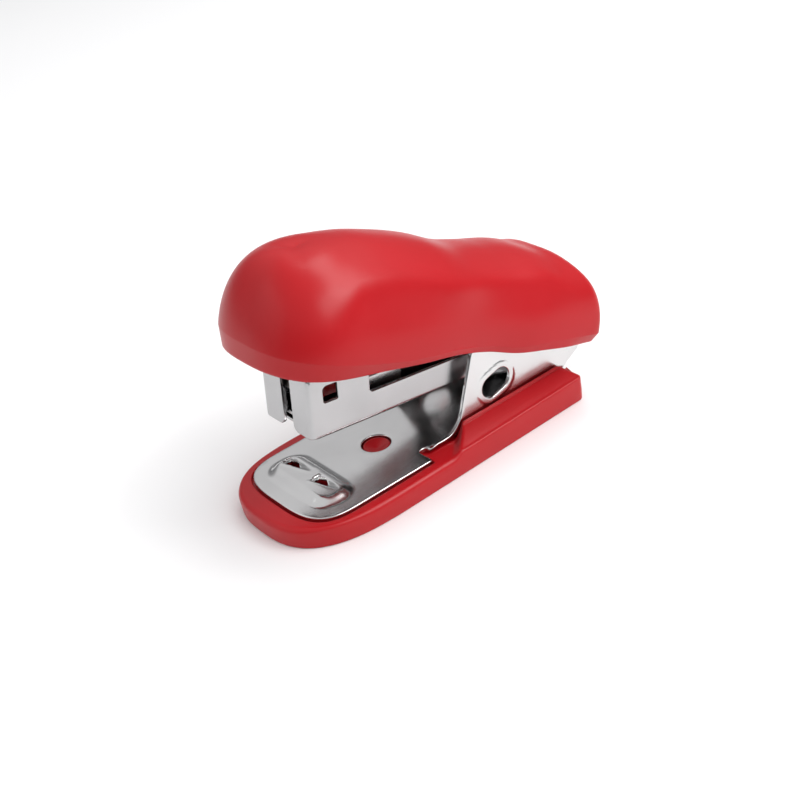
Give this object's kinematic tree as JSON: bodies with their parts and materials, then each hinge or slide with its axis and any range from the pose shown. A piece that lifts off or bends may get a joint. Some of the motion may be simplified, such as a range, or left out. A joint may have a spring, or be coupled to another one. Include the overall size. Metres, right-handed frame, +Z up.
{
  "type": "stapler",
  "caption": "Small desk stapler with a rounded two-bump plastic cover, folded steel magazine, plated anvil plate and a plastic base.",
  "frame": {"origin": "centre of the bounding box in plan, on the surface the stapler stands on", "axes": "+Z up; +Y along the stapler from its nose (-Y) to its hinge end (+Y); +X across it, to the right of the direction of +Y"},
  "size_m": [0.0308, 0.0681, 0.0452],
  "materials": {
    "base_plastic": "smooth, satin gloss",
    "anvil_steel": "bright plated, mirror gloss",
    "lift_spring_steel": "satin",
    "lift_rivet_steel": "satin",
    "hinge_pin_steel": "bright",
    "hinge_collar_steel": "bright",
    "magazine_nickel": "nickel plated, satin",
    "rail_nickel": "nickel plated, satin",
    "staple_steel": "bright wire",
    "pusher_steel": "satin",
    "rod_steel": "satin",
    "pusher_spring_steel": "bright wire",
    "rail_rivet_front_steel": "satin",
    "rail_rivet_rear_steel": "satin",
    "cover_spring_steel": "bright wire",
    "washer_left_nylon": "matt",
    "washer_right_nylon": "matt",
    "cover_plastic": "smooth, satin gloss",
    "driver_frame_steel": "satin",
    "driver_blade_steel": "dark hardened steel",
    "blade_rivet_left_steel": "satin",
    "blade_rivet_right_steel": "satin"
  },
  "bodies": {
    "base": {"base_housing": "base_plastic", "anvil_plate": "anvil_steel", "lift_spring": "lift_spring_steel", "lift_spring_rivet": "lift_rivet_steel", "hinge_pin": "hinge_pin_steel", "hinge_pin_collar": "hinge_collar_steel"},
    "magazine": {"magazine_channel": "magazine_nickel", "staple_rail": "rail_nickel", "staple_strip": "staple_steel", "pusher_rod": "rod_steel", "pusher_spring": "pusher_spring_steel", "rail_rivet_front": "rail_rivet_front_steel", "rail_rivet_rear": "rail_rivet_rear_steel", "cover_spring": "cover_spring_steel", "pivot_washer_left": "washer_left_nylon", "pivot_washer_right": "washer_right_nylon"},
    "pusher": {"staple_pusher": "pusher_steel"},
    "cover": {"top_cover": "cover_plastic", "driver_frame": "driver_frame_steel", "driver_blade": "driver_blade_steel", "blade_rivet_left": "blade_rivet_left_steel", "blade_rivet_right": "blade_rivet_right_steel"}
  },
  "joints": [
    {"name": "magazine_hinge", "type": "hinge", "parent": "base", "child": "magazine", "pos_m": [0, 0.0252, 0.0127], "axis": [-1, 0, 0], "range_deg": [-10.8, 0], "stiffness_Nm_per_rad": 0.5, "springref_deg": 5.73, "deforming": ["lift_spring"]},
    {"name": "cover_hinge", "type": "hinge", "parent": "magazine", "child": "cover", "pos_m": [0, 0.0252, 0.0127], "axis": [-1, 0, 0], "range_deg": [-8.2, 42]},
    {"name": "pusher_slide", "type": "slide", "parent": "magazine", "child": "pusher", "axis": [0, 0.9914, -0.1305], "range_m": [0, 0.014], "stiffness_N_per_m": 40, "springref_m": -0.02, "deforming": ["pusher_spring"]}
  ]
}
